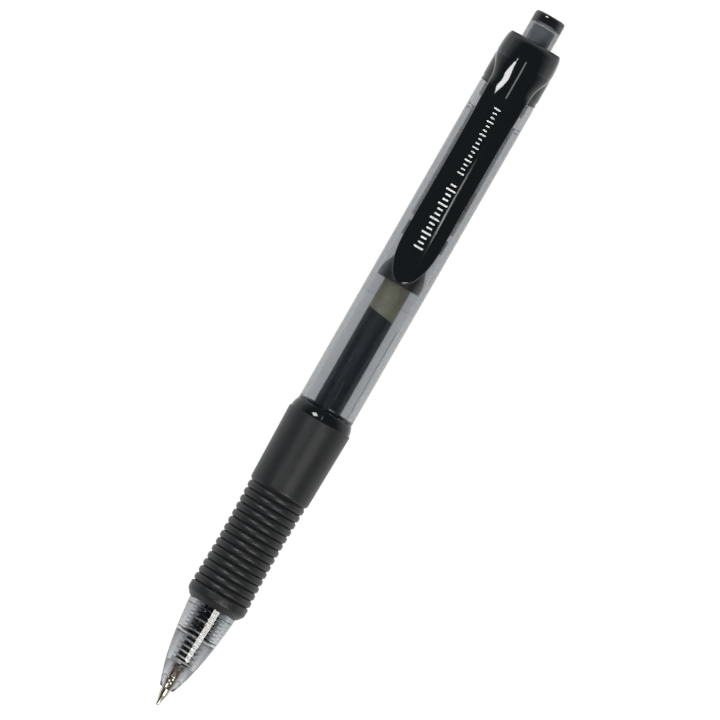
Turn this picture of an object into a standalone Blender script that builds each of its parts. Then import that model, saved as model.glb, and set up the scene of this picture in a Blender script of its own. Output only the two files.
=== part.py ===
"""A retractable gel pen that lies on its side with its clip up. Metres, +Z up.

The pen's axis runs along X, with the writing tip towards -X and the button towards +X.
A place along the pen is a station: millimetres from the writing tip, while the tip is out.
Radii, heights and widths are millimetres from the pen's axis.
"""

import math

import bmesh
import bpy
from mathutils import Matrix, Vector

MM = 0.001
FULL_TURN = 2 * math.pi

# Driving dimensions.
LENGTH = 142.8
BARREL_RADIUS = 5.56
BARREL_FRONT_RADIUS = 5.49
GRIP_TOP_RADIUS = 6.22
BUTTON_RADIUS = 3.0
REFILL_RADIUS = 2.72
TIP_RADIUS = 0.8
BALL_RADIUS = 0.35
CLICK_TRAVEL = 5.5

# Stations of the joints between the outer pieces.
CONE_FRONT = 3.42
CONE_BACK = 20.0
GRIP_FRONT = 20.3
GRIP_BACK = 58.9
COLLAR_BACK = 60.9
CAP_FRONT = 126.8
CLIP_RING_FRONT = 132.6
CAP_TOP = 137.16

# Fits: the gap left between faces that touch, across the axis and along it.
RADIAL_GAP = 0.04
END_GAP = 0.1

# Facets round a turned piece. A flat, not a corner, faces each of +Y, -Y, +Z and -Z.
SIDES = 32
SMALL_SIDES = 24
FLAT_TO_CORNER = math.cos(math.pi / SIDES)
AXIS_HEIGHT = GRIP_TOP_RADIUS * FLAT_TO_CORNER

# Nose cone.
CONE_MOUTH_BORE = 1.15
CONE_THROAT = 5.9
CONE_THROAT_BORE = 1.5
SPRING_SEAT = 8.46
SPRING_CHAMBER_BORE = 2.36
THREAD_CHAMBER = 14.0
THREAD_CHAMBER_BORE = 3.56

# Barrel.
BARREL_FRONT = 14.3
THREAD_BACK = 19.7
THREAD_PITCH = 0.74
THREAD_ROOT = 3.22
THREAD_DEPTH = 0.25
THREAD_ROWS_PER_TURN = 4
GRIP_SEAT_RADIUS = 4.65
FRONT_BORE = 2.86
GRIP_BORE = 3.4
REFILL_WINDOW_BORE = 4.5
GUIDE_BORE = 4.42
GUIDE_STEP = 83.6
CAP_BORE = 4.6

# Grip sleeve.
LIP_BACK = 23.0
RIB_PITCH = 1.47
RIB_COUNT = 14
RIB_HEIGHT = 0.42
SMOOTH_GRIP_FRONT = 44.0
WAIST_STATION = 34.0
WAIST_RADIUS = 5.55
RIB_END_RADIUS = 5.78

# Refill.
TUBE_FRONT = 24.3
TUBE_BACK = 96.9
TUBE_BORE = 2.48
INK_BACK = 81.0
INK_SLANT = 0.16
GREASE_BACK = 89.5
HOLDER_FRONT = 7.5
HOLDER_NECK = 1.5
HOLDER_NOSE = 1.25
HOLDER_BACK = 29.5
SHANK_RADIUS = 1.03
SHANK_BACK = 11.4
INK_CHANNEL = 0.6

# Return spring.
WIRE_RADIUS = 0.19
COIL_RADIUS = 2.05
OPEN_TURNS = 12
CLOSED_TURNS = 1.5
CLOSED_PITCH = 0.42
WIRE_SIDES = 5
WIRE_STEPS_PER_TURN = 10

# Cam mechanism.
CROWN_TEETH = 8
TOOTH_DEPTH = 0.8
SLOT_COUNT = 4
SLOT_WIDTH = 1.2
FIN_REACH = 4.15
ROTOR_FOOT = 87.2
ROTOR_FOOT_RADIUS = 4.32
ROTOR_RADIUS = 3.25
FIN_FRONT = 95.6
FIN_BACK = 98.4
ROTOR_CROWN = 100.0
GUIDE_FRONT = 99.6
GUIDE_BACK = 121.9
GUIDE_FLANGE = 121.2
THRUST_FRONT = 101.1
THRUST_BACK = 140.3
KEY_FRONT = 102.4
KEY_BACK = 108.4

# Clip.
CLIP_ARM_BACK = 127.1
CLIP_ARM_FRONT = 87.5
CLIP_HINGE = 127.25
CLIP_HINGE_HEIGHT = 6.9
CLIP_WIDEST = 4.15
CLIP_HEIGHT = 7.9


def clear_scene():
    for old in list(bpy.data.objects):
        bpy.data.objects.remove(old, do_unlink=True)


def material(name, colour, roughness, metallic=0.0):
    made = bpy.data.materials.new(name)
    made.use_nodes = True
    shader = made.node_tree.nodes["Principled BSDF"]
    shader.inputs["Base Color"].default_value = (*colour, 1.0)
    shader.inputs["Roughness"].default_value = roughness
    shader.inputs["Metallic"].default_value = metallic
    return made


def point(station, y, z):
    """A place in the pen's own frame, whose origin is on the axis at station 0."""
    return Vector((station * MM, y * MM, z * MM))


def add_solid(name, mesh, finish, origin):
    """Hands the mesh, drawn from station 0, to a new object whose origin is `origin`."""
    mesh.transform(Matrix.Translation(-origin))
    mesh.materials.append(finish)
    mesh.shade_smooth()
    mesh.set_sharp_from_angle(angle=math.radians(35))
    solid = bpy.data.objects.new(name, mesh)
    solid.location = origin + point(-LENGTH / 2, 0, AXIS_HEIGHT)
    bpy.context.scene.collection.objects.link(solid)
    return solid


def mesh_of(name, corners, faces):
    mesh = bpy.data.meshes.new(name)
    shape = bmesh.new()
    rings = [shape.verts.new(corner) for corner in corners]
    for face in faces:
        shape.faces.new([rings[k] for k in face])
    bmesh.ops.recalc_face_normals(shape, faces=shape.faces)
    shape.to_mesh(mesh)
    shape.free()
    return mesh


def turned_mesh(name, outline, sides=SIDES, bend=None):
    """The mesh of a closed outline of (station, radius) corners, turned about the pen's axis.

    A corner of radius 0 lies on the axis. `bend` moves each corner as it goes round: it
    takes the station, the radius and the angle, and gives the station and radius there.
    """
    corners, rows = [], []
    for station, radius in outline:
        row = []
        for k in range(sides if radius else 1):
            angle = (k + 0.5) * FULL_TURN / sides
            s, r = bend(station, radius, angle) if bend else (station, radius)
            row.append(len(corners))
            corners.append(point(s, r * math.sin(angle), r * math.cos(angle)))
        rows.append(row)
    faces = []
    for here, there in zip(rows, rows[1:] + rows[:1]):
        if len(here) == len(there) == 1:
            continue
        for k in range(sides):
            ring = [here[k % len(here)], here[(k + 1) % len(here)]]
            ring += [there[(k + 1) % len(there)], there[k % len(there)]]
            faces.append(list(dict.fromkeys(ring)))
    return mesh_of(name, corners, faces)


def turned(name, outline, finish, sides=SIDES, bend=None, at=0.0):
    """A turned piece, with its origin on the pen's axis at station `at`."""
    mesh = turned_mesh(name, outline, sides, bend)
    return add_solid(name, mesh, finish, point(at, 0, 0))


def lofted_mesh(name, sections):
    """The mesh through closed sections of equal length, with a flat face on each end."""
    count = len(sections[0])
    corners = [corner for section in sections for corner in section]
    faces = [list(range(count)), list(range(len(corners) - count, len(corners)))]
    for row in range(len(sections) - 1):
        for k in range(count):
            a, b = row * count + k, row * count + (k + 1) % count
            faces.append([a, b, b + count, a + count])
    return mesh_of(name, corners, faces)


def boolean(solid, mesh, operation):
    """Joins or cuts `solid` with a helper that is hidden from the model."""
    helper = add_solid(f"{solid.name}_{mesh.name}", mesh, solid.data.materials[0], point(0, 0, 0))
    helper.hide_render = True
    helper.display_type = "WIRE"
    change = solid.modifiers.new(mesh.name, "BOOLEAN")
    change.operation = operation
    change.solver = "EXACT"
    change.object = helper


def extrude_flats(mesh, front, back, directions, reach):
    """Raises the flats between two stations that face the given directions into keys or fins."""
    shape = bmesh.new()
    shape.from_mesh(mesh)
    chosen = []
    for face in shape.faces:
        middle = face.calc_center_median()
        radial = Vector((0, middle.y, middle.z))
        if not front * MM < middle.x < back * MM or face.normal.dot(radial) <= 0:
            continue
        if any(radial.normalized().dot(Vector(d)) > 0.999 for d in directions):
            chosen.append(face)
    for face in bmesh.ops.extrude_discrete_faces(shape, faces=chosen)["faces"]:
        middle = face.calc_center_median()
        radial = Vector((0, middle.y, middle.z))
        rise = reach * MM - radial.length
        bmesh.ops.translate(shape, verts=face.verts, vec=radial.normalized() * rise)
    shape.to_mesh(mesh)
    shape.free()


def crown(end, depth):
    """A bend that cuts a ring of even teeth into the end face at station `end`."""

    def bend(station, radius, angle):
        if station != end:
            return station, radius
        turn = (angle / FULL_TURN * SIDES - 0.5) * CROWN_TEETH / SIDES % 1
        return station + depth * (1 - abs(2 * turn - 1)), radius

    return bend


# The cone's outside: nearly straight at the back, and drawn in ever faster to the mouth.
def cone_radius(station):
    along = (station - CONE_FRONT) / (CONE_BACK + 0.5 - CONE_FRONT)
    return 1.38 + 1.75 * along + 1.6 * (1 - (1 - along) ** 3)


def build_nose_cone(finish):
    stations = [3.55, 3.9, 4.9, 6.0, 7.4, 9.0, 10.8, 12.8, 15.0, 17.4, CONE_BACK]
    outside = [(s, cone_radius(s)) for s in stations]
    inside = [
        (CONE_BACK, THREAD_CHAMBER_BORE),
        (THREAD_CHAMBER, THREAD_CHAMBER_BORE),
        (THREAD_CHAMBER, SPRING_CHAMBER_BORE),
        (SPRING_SEAT, SPRING_CHAMBER_BORE),
        (SPRING_SEAT, CONE_THROAT_BORE),
        (CONE_THROAT, CONE_THROAT_BORE),
        (CONE_THROAT - 0.4, CONE_MOUTH_BORE),
        (CONE_FRONT, CONE_MOUTH_BORE),
    ]
    rim = [(CONE_FRONT, cone_radius(CONE_FRONT) - 0.1)]
    turned("nose_cone", rim + outside + inside, finish, at=CONE_BACK)


def build_barrel(finish):
    rows = round((THREAD_BACK - BARREL_FRONT) / THREAD_PITCH * THREAD_ROWS_PER_TURN)
    step = THREAD_PITCH / THREAD_ROWS_PER_TURN
    thread = [(BARREL_FRONT + step * k, THREAD_ROOT) for k in range(rows + 1)]
    outside = [
        (GRIP_FRONT, THREAD_ROOT),
        (GRIP_FRONT, GRIP_SEAT_RADIUS),
        (COLLAR_BACK + END_GAP, GRIP_SEAT_RADIUS),
        (COLLAR_BACK + END_GAP, BARREL_FRONT_RADIUS),
        (CAP_FRONT - END_GAP, BARREL_RADIUS),
    ]
    inside = [
        (CAP_FRONT - END_GAP, CAP_BORE),
        (GUIDE_FLANGE, CAP_BORE),
        (GUIDE_FLANGE, GUIDE_BORE),
        (GUIDE_STEP, GUIDE_BORE),
        (GUIDE_STEP, REFILL_WINDOW_BORE),
        (COLLAR_BACK + 0.4, REFILL_WINDOW_BORE),
        (COLLAR_BACK - 1.0, GRIP_BORE),
        (GRIP_FRONT + 2.0, GRIP_BORE),
        (GRIP_FRONT + 1.4, FRONT_BORE),
        (BARREL_FRONT, FRONT_BORE),
    ]

    def thread_bend(station, radius, angle):
        if radius != THREAD_ROOT or station > THREAD_BACK:
            return station, radius
        turn = (station - BARREL_FRONT) / THREAD_PITCH - angle / FULL_TURN
        to_end = min(station - BARREL_FRONT, THREAD_BACK - station)
        fade = max(0, min(1, to_end / THREAD_PITCH))
        return station, radius + THREAD_DEPTH * fade * (0.5 + 0.5 * math.cos(FULL_TURN * turn))

    turned("barrel", thread + outside + inside, finish, bend=thread_bend)


# The ribs' crests follow a shallow waist between the lip and the smooth upper grip.
def rib_crest_radius(station):
    bow = (station - WAIST_STATION) / (SMOOTH_GRIP_FRONT - WAIST_STATION)
    return WAIST_RADIUS + (RIB_END_RADIUS - WAIST_RADIUS) * bow * bow


def build_grip_sleeve(finish):
    lip = [
        (GRIP_FRONT, 4.95),
        (GRIP_FRONT + 0.5, 5.4),
        (GRIP_FRONT + 1.2, 5.78),
        (LIP_BACK - 0.1, 5.8),
    ]
    ribs = []
    for k in range(RIB_COUNT):
        front = LIP_BACK + 0.15 + RIB_PITCH * k
        crest = rib_crest_radius(front + 0.8)
        ribs += [(front + 0.2, crest - RIB_HEIGHT), (front + 0.55, crest), (front + 1.05, crest)]
    ribs.append((ribs[-1][0] + 0.6, RIB_END_RADIUS - RIB_HEIGHT))
    upper = [
        (SMOOTH_GRIP_FRONT + 0.35, RIB_END_RADIUS + 0.1),
        (GRIP_BACK - 0.2, GRIP_TOP_RADIUS),
        (GRIP_BACK, GRIP_TOP_RADIUS - 0.15),
    ]
    bore = GRIP_SEAT_RADIUS + RADIAL_GAP
    inside = [(GRIP_BACK, bore), (GRIP_FRONT, bore)]
    turned("grip_sleeve", lip + ribs + upper + inside, finish)


def build_grip_collar(finish):
    front = GRIP_BACK + END_GAP
    bore = GRIP_SEAT_RADIUS + RADIAL_GAP
    outline = [
        (front, bore),
        (front, 6.03),
        (front + 0.4, 5.99),
        (front + 1.0, 5.85),
        (front + 1.5, 5.66),
        (COLLAR_BACK, 5.5),
        (COLLAR_BACK, bore),
    ]
    turned("grip_collar", outline, finish)


def build_top_cap(finish):
    spigot = CAP_BORE - RADIAL_GAP
    outline = [
        (CAP_FRONT - 2.7, 3.95),
        (CAP_FRONT - 2.7, spigot),
        (CAP_FRONT, spigot),
        (CAP_FRONT, 5.45),
        (CAP_FRONT + 0.25, 5.55),
        (CAP_FRONT + 1.0, 5.6),
        (CLIP_RING_FRONT - END_GAP, 5.6),
        (CLIP_RING_FRONT - END_GAP, 4.9),
        (136.2, 4.9),
        (136.2, BUTTON_RADIUS + 0.12),
        (132.75, BUTTON_RADIUS + 0.12),
        (132.75, 3.95),
    ]
    turned("top_cap", outline, finish)


def clip_section(station, half_width, top, bottom, shoulder=0.9):
    """A clip section: a slightly crowned face on top, rounded shoulders and a flat underside."""
    side = top - 0.55 * min(shoulder, top - bottom)
    half = [(0.0, top), (half_width * 0.55, top - 0.08), (half_width * 0.86, top - 0.28)]
    half += [(half_width, side - 0.2), (half_width, bottom)]
    outline = half + [(-y, z) for y, z in reversed(half[1:])]
    return [point(station, y, z) for y, z in outline]


def build_clip_base(finish):
    ring = [
        (CLIP_RING_FRONT, 4.96),
        (CLIP_RING_FRONT, 5.62),
        (134.2, 5.6),
        (135.6, 5.48),
        (136.6, 5.3),
        (CAP_TOP, 4.95),
        (CAP_TOP, BUTTON_RADIUS + 0.12),
        (136.4, BUTTON_RADIUS + 0.12),
        (136.4, 4.96),
    ]
    base = turned("clip_base", ring, finish, at=CLIP_HINGE)
    saddle = [
        clip_section(136.9, 3.1, 5.45, 5.0),
        clip_section(135.6, 3.4, 6.5, 4.6),
        clip_section(133.4, 3.75, 7.25, 4.3),
        clip_section(130.5, 4.05, 7.75, 3.6),
        clip_section(CLIP_ARM_BACK + 0.3, CLIP_WIDEST, CLIP_HEIGHT, 3.6),
    ]
    boolean(base, lofted_mesh("saddle", saddle), "UNION")
    hollow = [
        (136.4, 0),
        (136.4, 4.96),
        (CLIP_RING_FRONT, 4.96),
        (CLIP_RING_FRONT, 5.67),
        (CAP_FRONT, 5.67),
        (CAP_FRONT, 0),
    ]
    boolean(base, turned_mesh("hollow", hollow), "DIFFERENCE")


def build_clip_arm(finish):
    # Station, half width, top and underside, from the root to the rounded tongue end.
    stations = [
        (CLIP_ARM_BACK, CLIP_WIDEST, CLIP_HEIGHT, 5.95),
        (124.0, 4.0, 7.88, 6.25),
        (119.5, 3.83, 7.84, 6.4),
        (110.5, 3.72, 7.72, 6.38),
        (101.5, 3.72, 7.58, 6.3),
        (96.0, 3.66, 7.46, 6.25),
        (93.0, 3.38, 7.38, 6.1),
        (91.2, 3.12, 7.32, 5.86),
        (90.0, 2.8, 7.26, 5.82),
        (88.8, 2.3, 7.16, 5.95),
        (88.0, 1.6, 7.02, 6.15),
        (CLIP_ARM_FRONT, 0.7, 6.85, 6.3),
    ]
    sections = [clip_section(*row) for row in stations]
    mesh = lofted_mesh("clip_arm", sections)
    add_solid("clip_arm", mesh, finish, point(CLIP_HINGE, 0, CLIP_HINGE_HEIGHT))


def build_push_button(finish):
    outline = [
        (LENGTH, 0),
        (LENGTH, BUTTON_RADIUS - 0.65),
        (LENGTH - 0.2, BUTTON_RADIUS - 0.2),
        (LENGTH - 0.65, BUTTON_RADIUS),
        (127.0, BUTTON_RADIUS),
        (127.0, 3.8),
        (125.6, 3.8),
        (125.6, 2.3),
        (140.8, 2.3),
        (141.3, 1.7),
        (141.3, 0),
    ]
    turned("push_button", outline, finish, at=LENGTH)


def build_thrust_tube(finish):
    outline = [
        (THRUST_FRONT, 1.9),
        (THRUST_FRONT, ROTOR_RADIUS),
        (KEY_FRONT, ROTOR_RADIUS),
        (KEY_BACK, ROTOR_RADIUS),
        (125.4, ROTOR_RADIUS),
        (125.4, 2.25),
        (THRUST_BACK, 2.25),
        (THRUST_BACK, 1.4),
        (125.0, 1.4),
        (124.0, 1.9),
    ]
    mesh = turned_mesh("thrust_tube", outline, bend=crown(THRUST_FRONT, TOOTH_DEPTH))
    # Keyed on three of the guide's four slots, so it goes in only one way round.
    extrude_flats(mesh, KEY_FRONT, KEY_BACK, [(0, -1, 0), (0, 0, 1), (0, 0, -1)], FIN_REACH)
    add_solid("thrust_tube", mesh, finish, point(THRUST_FRONT, 0, 0))


def build_cam_guide(finish):
    outside = GUIDE_BORE - RADIAL_GAP
    outline = [
        (GUIDE_FRONT, ROTOR_RADIUS + 0.2),
        (GUIDE_FRONT, outside),
        (GUIDE_FLANGE + END_GAP, outside),
        (GUIDE_FLANGE + END_GAP, CAP_BORE - RADIAL_GAP),
        (GUIDE_BACK, CAP_BORE - RADIAL_GAP),
        (GUIDE_BACK, ROTOR_RADIUS + 0.2),
    ]
    guide = turned("cam_guide", outline, finish, at=GUIDE_FRONT)
    slot_back = KEY_BACK + CLICK_TRAVEL + 1.6
    half = SLOT_WIDTH / 2
    for turn in range(SLOT_COUNT):
        across = Matrix.Rotation(FULL_TURN * turn / SLOT_COUNT, 4, "X")
        sections = []
        for station in (GUIDE_FRONT - 1, slot_back):
            corners = [(-half, 2.5), (half, 2.5), (half, 5.5), (-half, 5.5)]
            sections.append([across @ point(station, y, z) for y, z in corners])
        boolean(guide, lofted_mesh(f"slot_{turn}", sections), "DIFFERENCE")


def build_cam_rotor(finish):
    outline = [
        (ROTOR_FOOT, REFILL_RADIUS + 0.06),
        (ROTOR_FOOT, ROTOR_FOOT_RADIUS),
        (88.9, ROTOR_FOOT_RADIUS - 0.02),
        (89.9, 3.95),
        (91.2, ROTOR_RADIUS + 0.15),
        (92.0, ROTOR_RADIUS),
        (FIN_FRONT, ROTOR_RADIUS),
        (FIN_BACK, ROTOR_RADIUS),
        (ROTOR_CROWN, ROTOR_RADIUS),
        (ROTOR_CROWN, 1.7),
        (104.4, 1.7),
        (104.8, 1.3),
        (104.8, 0),
        (97.9, 0),
        (97.9, REFILL_RADIUS + 0.06),
    ]
    mesh = turned_mesh("cam_rotor", outline, bend=crown(ROTOR_CROWN, -TOOTH_DEPTH))
    compass = [(0, 1, 0), (0, -1, 0), (0, 0, 1), (0, 0, -1)]
    extrude_flats(mesh, FIN_FRONT, FIN_BACK, compass, FIN_REACH)
    add_solid("cam_rotor", mesh, finish, point(ROTOR_FOOT, 0, 0))


def build_return_spring(finish):
    front = SPRING_SEAT + WIRE_RADIUS + 0.05
    back = 22.9 - WIRE_RADIUS - 0.05
    closed = CLOSED_TURNS * CLOSED_PITCH
    open_pitch = (back - front - 2 * closed) / OPEN_TURNS
    turns = OPEN_TURNS + 2 * CLOSED_TURNS
    sections = []
    for k in range(round(turns * WIRE_STEPS_PER_TURN) + 1):
        turn = k / WIRE_STEPS_PER_TURN
        station = front + CLOSED_PITCH * min(turn, CLOSED_TURNS)
        station += open_pitch * min(max(turn - CLOSED_TURNS, 0), OPEN_TURNS)
        station += CLOSED_PITCH * max(turn - CLOSED_TURNS - OPEN_TURNS, 0)
        angle = FULL_TURN * turn
        section = []
        for side in range(WIRE_SIDES):
            swing = FULL_TURN * side / WIRE_SIDES
            radius = COIL_RADIUS + WIRE_RADIUS * math.cos(swing)
            along = station + WIRE_RADIUS * math.sin(swing)
            section.append(point(along, radius * math.sin(angle), radius * math.cos(angle)))
        sections.append(section)
    mesh = lofted_mesh("return_spring", sections)
    add_solid("return_spring", mesh, finish, point(SPRING_SEAT, 0, 0))


def build_refill(clear, ink, grease, dark, steel):
    def slanted(station, radius, angle):
        if abs(station - INK_BACK) > END_GAP / 2 + 0.01:
            return station, radius
        return station + INK_SLANT * radius * math.sin(angle), radius

    tube = [
        (TUBE_FRONT, TUBE_BORE),
        (TUBE_FRONT, REFILL_RADIUS),
        (TUBE_BACK, REFILL_RADIUS),
        (TUBE_BACK, TUBE_BORE),
    ]
    turned("refill_tube", tube, clear, at=TUBE_FRONT)
    fill = TUBE_BORE - RADIAL_GAP
    ink_end, grease_front = INK_BACK - END_GAP / 2, INK_BACK + END_GAP / 2
    column = [(HOLDER_BACK + END_GAP, 0), (HOLDER_BACK + END_GAP, fill), (ink_end, fill), (ink_end, 0)]
    turned("ink_column", column, ink, SMALL_SIDES, slanted, at=TUBE_FRONT)
    follower = [(grease_front, 0), (grease_front, fill), (GREASE_BACK, fill), (GREASE_BACK - 0.8, 0)]
    turned("grease_follower", follower, grease, SMALL_SIDES, slanted, at=TUBE_FRONT)
    plug = [
        (93.0, 0.5),
        (93.0, 2.2),
        (93.4, fill),
        (TUBE_BACK + END_GAP, fill),
        (TUBE_BACK + END_GAP, REFILL_RADIUS - 0.05),
        (97.7, REFILL_RADIUS - 0.05),
        (97.7, 0.5),
    ]
    turned("tail_plug", plug, dark, SMALL_SIDES, at=TUBE_FRONT)
    holder = [
        (HOLDER_FRONT, SHANK_RADIUS + RADIAL_GAP),
        (HOLDER_FRONT, HOLDER_NOSE),
        (8.7, HOLDER_NOSE),
        (8.9, HOLDER_NECK),
        (22.9, HOLDER_NECK),
        (22.9, REFILL_RADIUS),
        (TUBE_FRONT - END_GAP, REFILL_RADIUS),
        (TUBE_FRONT - END_GAP, fill),
        (HOLDER_BACK, fill),
        (HOLDER_BACK, INK_CHANNEL),
        (SHANK_BACK + END_GAP, INK_CHANNEL),
        (SHANK_BACK + END_GAP, SHANK_RADIUS + RADIAL_GAP),
    ]
    turned("tip_holder", holder, dark, SMALL_SIDES, at=TUBE_FRONT)
    socket_bore = BALL_RADIUS + 0.02
    point_outline = [
        (0.24, socket_bore),
        (0.24, 0.43),
        (1.1, 0.66),
        (2.35, TIP_RADIUS),
        (4.6, TIP_RADIUS),
        (4.85, SHANK_RADIUS),
        (SHANK_BACK, SHANK_RADIUS),
        (SHANK_BACK, 0.3),
        (1.2, 0.12),
        (0.8, socket_bore),
    ]
    turned("tip_socket", point_outline, steel, SMALL_SIDES, at=TUBE_FRONT)


def build_writing_ball(finish):
    mesh = bpy.data.meshes.new("writing_ball")
    shape = bmesh.new()
    bmesh.ops.create_uvsphere(shape, u_segments=12, v_segments=8, radius=BALL_RADIUS * MM)
    bmesh.ops.translate(shape, verts=shape.verts, vec=point(BALL_RADIUS, 0, 0))
    shape.to_mesh(mesh)
    shape.free()
    add_solid("writing_ball", mesh, finish, point(BALL_RADIUS, 0, 0))


def build():
    clear_scene()
    smoke = material("smoke_plastic", (0.50, 0.52, 0.54), 0.08)
    dark_smoke = material("dark_smoke_plastic", (0.05, 0.055, 0.06), 0.1)
    black = material("black_gloss_plastic", (0.012, 0.015, 0.017), 0.12)
    rubber = material("black_rubber", (0.03, 0.031, 0.032), 0.6)
    mechanism = material("mechanism_plastic", (0.02, 0.022, 0.025), 0.35)
    refill_plastic = material("refill_plastic", (0.75, 0.77, 0.78), 0.2)
    ink = material("gel_ink", (0.008, 0.015, 0.03), 0.25)
    grease = material("follower_grease", (0.18, 0.18, 0.11), 0.4)
    steel = material("spring_steel", (0.62, 0.62, 0.6), 0.25, 1.0)
    tip_metal = material("tip_metal", (0.72, 0.68, 0.56), 0.22, 1.0)
    ball = material("ball_carbide", (0.3, 0.3, 0.31), 0.15, 1.0)
    build_nose_cone(smoke)
    build_barrel(smoke)
    build_grip_sleeve(rubber)
    build_grip_collar(dark_smoke)
    build_top_cap(dark_smoke)
    build_clip_base(black)
    build_clip_arm(black)
    build_push_button(smoke)
    build_thrust_tube(mechanism)
    build_cam_guide(smoke)
    build_cam_rotor(mechanism)
    build_return_spring(steel)
    build_refill(refill_plastic, ink, grease, mechanism, tip_metal)
    build_writing_ball(ball)


build()
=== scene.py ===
"""How the gel pen looks: the smooth shapes and the materials that stand for the plain CAD solids.

Shapes are drawn in millimetres. A station is a distance along the pen from the writing tip, and a
radius, height or width is measured from the pen's axis, with the clip's side up. `placed` turns
them into the frame's metres.
"""

import math

import bmesh
import bpy
import numpy as np
from mathutils import Matrix, Vector


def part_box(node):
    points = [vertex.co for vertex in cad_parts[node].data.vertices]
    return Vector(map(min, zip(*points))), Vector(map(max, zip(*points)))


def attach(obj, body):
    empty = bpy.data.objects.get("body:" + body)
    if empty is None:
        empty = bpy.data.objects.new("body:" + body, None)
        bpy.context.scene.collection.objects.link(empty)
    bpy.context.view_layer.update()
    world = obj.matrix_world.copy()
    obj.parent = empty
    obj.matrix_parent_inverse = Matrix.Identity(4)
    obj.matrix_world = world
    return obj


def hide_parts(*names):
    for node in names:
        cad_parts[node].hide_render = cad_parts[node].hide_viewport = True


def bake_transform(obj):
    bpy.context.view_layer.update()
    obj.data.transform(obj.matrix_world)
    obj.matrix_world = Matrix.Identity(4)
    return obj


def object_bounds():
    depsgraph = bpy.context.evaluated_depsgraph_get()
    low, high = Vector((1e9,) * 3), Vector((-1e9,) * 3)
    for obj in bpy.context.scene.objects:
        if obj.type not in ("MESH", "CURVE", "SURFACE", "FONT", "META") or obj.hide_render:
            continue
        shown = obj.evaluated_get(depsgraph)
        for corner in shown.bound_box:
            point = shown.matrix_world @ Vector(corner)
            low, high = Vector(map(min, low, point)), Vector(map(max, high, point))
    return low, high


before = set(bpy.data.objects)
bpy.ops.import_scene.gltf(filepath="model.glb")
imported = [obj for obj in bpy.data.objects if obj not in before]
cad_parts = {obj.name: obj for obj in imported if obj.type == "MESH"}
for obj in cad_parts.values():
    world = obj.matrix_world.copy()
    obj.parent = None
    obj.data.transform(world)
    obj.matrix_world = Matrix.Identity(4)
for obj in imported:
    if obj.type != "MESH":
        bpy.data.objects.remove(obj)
cad_low, cad_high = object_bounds()

MM = 0.001
FULL_TURN = 2 * math.pi

# Where the frame has the tip and the axis. A turned CAD piece has flats, and the smooth pieces
# are round just inside them, so every radius is scaled by the grip's, which the frame gives.
TIP_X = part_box("writing_ball")[0].x
BARREL_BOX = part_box("barrel")
AXIS_Z = (BARREL_BOX[0].z + BARREL_BOX[1].z) / 2
GRIP_TOP_RADIUS = 6.22
GRIP_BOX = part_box("grip_sleeve")
ACROSS = (GRIP_BOX[1].y - GRIP_BOX[0].y) / 2 / GRIP_TOP_RADIUS


def ends(node):
    """The stations of a CAD node's two ends."""
    low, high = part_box(node)
    return (low.x - TIP_X) / MM, (high.x - TIP_X) / MM


CONE_FRONT, CONE_BACK = ends("nose_cone")
BARREL_FRONT, BARREL_BACK = ends("barrel")
GRIP_FRONT = ends("grip_sleeve")[0]
COLLAR_FRONT, COLLAR_BACK = ends("grip_collar")
SPIGOT_FRONT, CAP_BACK = ends("top_cap")
ARM_FRONT = ends("clip_arm")[0]
CLIP_BACK = ends("clip_base")[1]
GUIDE_FRONT, GUIDE_BACK = ends("cam_guide")
ROTOR_FRONT, ROTOR_BACK = ends("cam_rotor")
THRUST_FRONT, THRUST_BACK = ends("thrust_tube")
BUTTON_FRONT, BUTTON_BACK = ends("push_button")
SPRING_FRONT, SPRING_BACK = ends("return_spring")
TUBE_FRONT, TUBE_BACK = ends("refill_tube")
HOLDER_FRONT, HOLDER_BACK = ends("tip_holder")
PLUG_FRONT, PLUG_BACK = ends("tail_plug")
POINT_FRONT, POINT_BACK = ends("tip_socket")
INK_FRONT = ends("ink_column")[0]
GREASE_BACK = ends("grease_follower")[1]
CAP_FRONT = BARREL_BACK + 0.1
RING_FRONT = CAP_FRONT + 5.8
FLANGE_STOP = RING_FRONT + 0.15
SPRING_SEAT = 8.46

# Radii and fits that more than one piece uses. The flange is the button's, which slides in the
# cap's bore and can't pass its hole.
FIT = 0.04
BARREL_RADIUS = 5.56
BARREL_FRONT_RADIUS = 5.49
GRIP_SEAT_RADIUS = 4.65
GUIDE_BORE = 4.42
CAP_BORE = 4.6
REFILL_RADIUS = 2.72
TUBE_BORE = 2.48
TUBE_PLUG_RADIUS = 2.44
ROTOR_RADIUS = 3.25
BUTTON_RADIUS = 3.0
BUTTON_BORE = 2.3
BUTTON_HOLE = BUTTON_RADIUS + 0.12
FLANGE_RADIUS = 3.8
FLANGE_ROOM = 3.95
CAP_RADIUS = 5.6
CAP_NECK_RADIUS = 4.9
SHANK_RADIUS = 1.03
BALL_SEAT = 0.36
NECK_FRONT = HOLDER_FRONT + 1.2

# The thread between the nose and the barrel, drawn as rings.
THREAD_PITCH = 0.74
THREAD_ROOT = 3.2
THREAD_CREST = 3.44
NUT_CREST = 3.5
NUT_ROOT = 3.72
THREAD_COUNT = 7

# The barrel's inside: its other bores, and the stations where it narrows for the cam guide and
# widens for the guide's flange.
FRONT_BORE = 2.86
GRIP_BORE = 3.4
REFILL_WINDOW_BORE = 4.5
GUIDE_STEP = 83.6
GUIDE_FLANGE = 121.2

# Ring grooves on the barrel: station and depth.
RING_GROOVES = [(121.3, 0.06), (121.95, 0.06), (124.3, 0.03)]

# Mould lines on the barrel: front and back stations, half the width, and the turn from the top
# towards the right. They are cut down to a flat floor.
MOULD_LINE_FLOOR = 5.43
MOULD_LINES = [
    (61.5, 79.7, 0.06, math.radians(48.5)),
    (79.6, 79.75, 0.6, math.radians(55)),
    (83.6, 83.75, 0.6, math.radians(-42)),
]

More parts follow.
